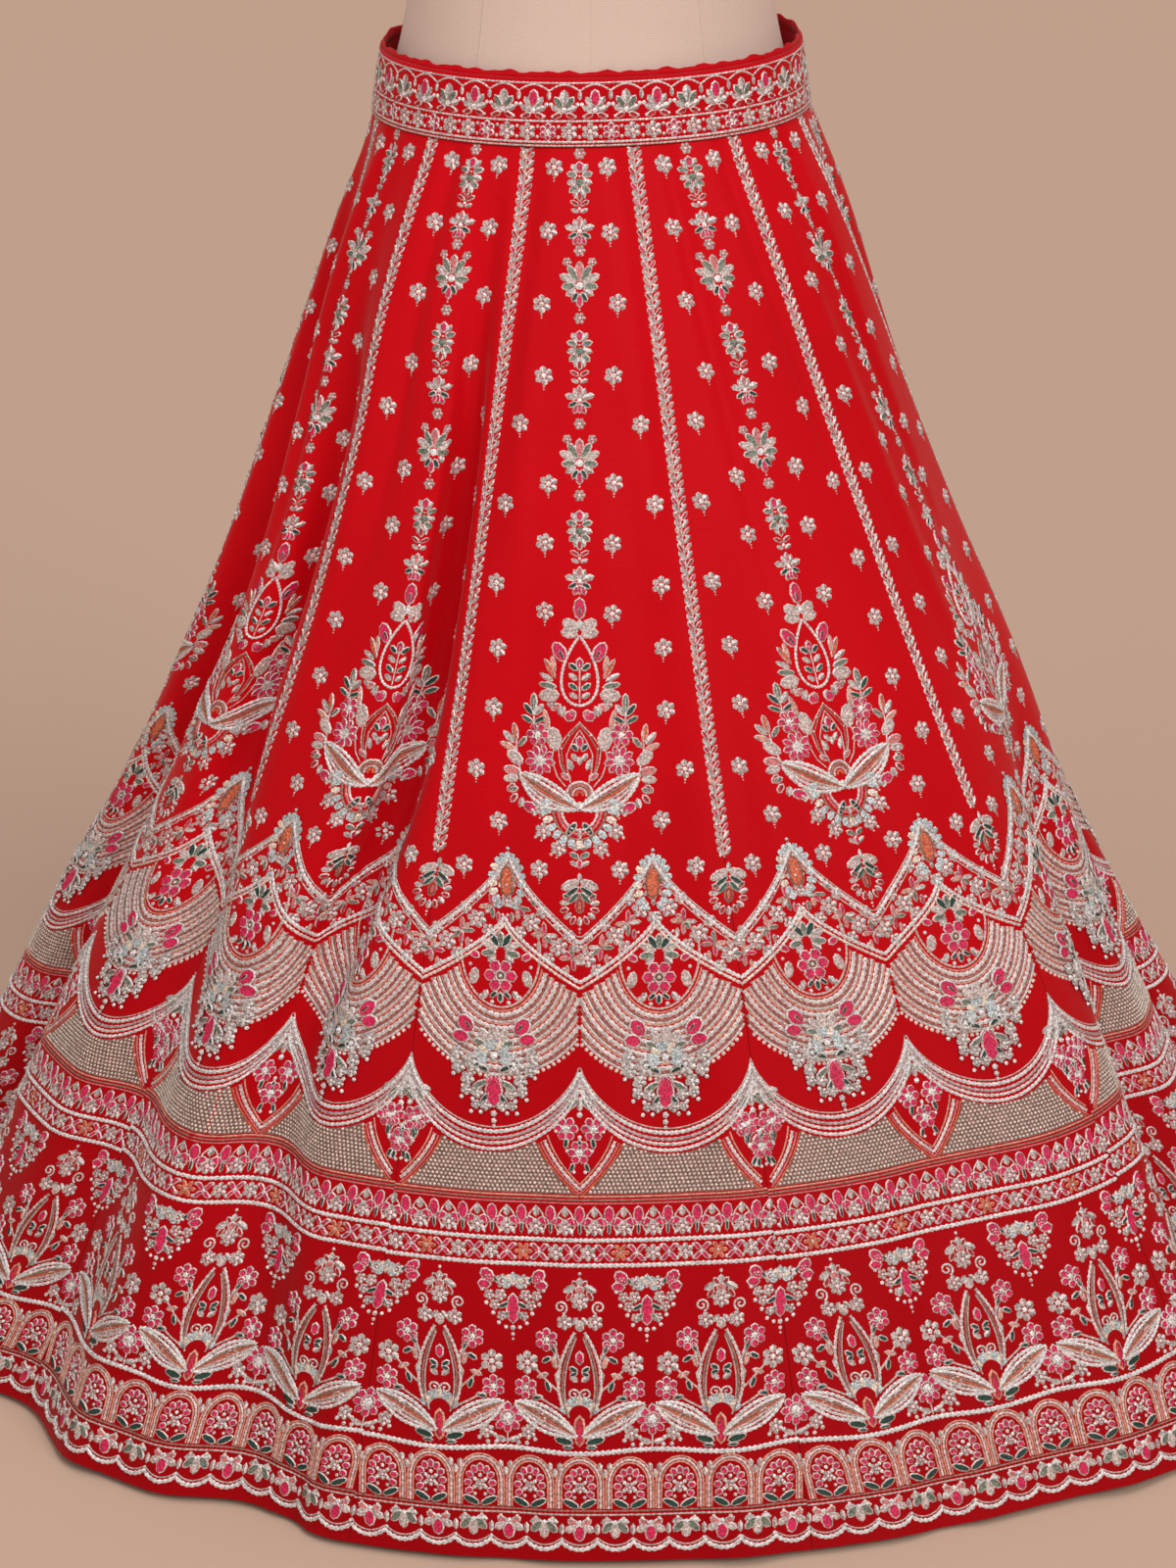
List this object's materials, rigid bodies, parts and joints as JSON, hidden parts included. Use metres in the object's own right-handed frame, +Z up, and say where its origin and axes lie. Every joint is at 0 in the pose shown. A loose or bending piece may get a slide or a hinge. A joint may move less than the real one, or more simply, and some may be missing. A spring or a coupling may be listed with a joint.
{
  "type": "lehenga skirt on dress form",
  "caption": "Floor-length flared red skirt of sewn gores with an embroidered waistband, standing on a limbless dress form with a round base.",
  "frame": {"origin": "on the floor, at the middle of the underside of the dress form's round base", "axes": "+Z up along the form's pole, -Y to the front of the skirt, +X to the right as seen from the front"},
  "size_m": [1.1596, 0.9879, 1.5388],
  "materials": {
    "red_cloth": "raw silk with close metallic thread and bead embroidery",
    "band_cloth": "raw silk, stiffened, with close bead embroidery",
    "form_cover": "smooth matt linen stretched over the form",
    "form_metal": "satin black"
  },
  "bodies": {
    "root": {"gore_01": "red_cloth", "gore_02": "red_cloth", "gore_03": "red_cloth", "gore_04": "red_cloth", "gore_05": "red_cloth", "gore_06": "red_cloth", "gore_07": "red_cloth", "gore_08": "red_cloth", "gore_09": "red_cloth", "gore_10": "red_cloth", "gore_11": "red_cloth", "gore_12": "red_cloth", "waistband": "band_cloth", "form_torso": "form_cover", "form_neck_cap": "form_metal", "form_knob": "form_metal", "form_pole": "form_metal", "form_collar": "form_metal", "form_base": "form_metal"}
  },
  "joints": []
}
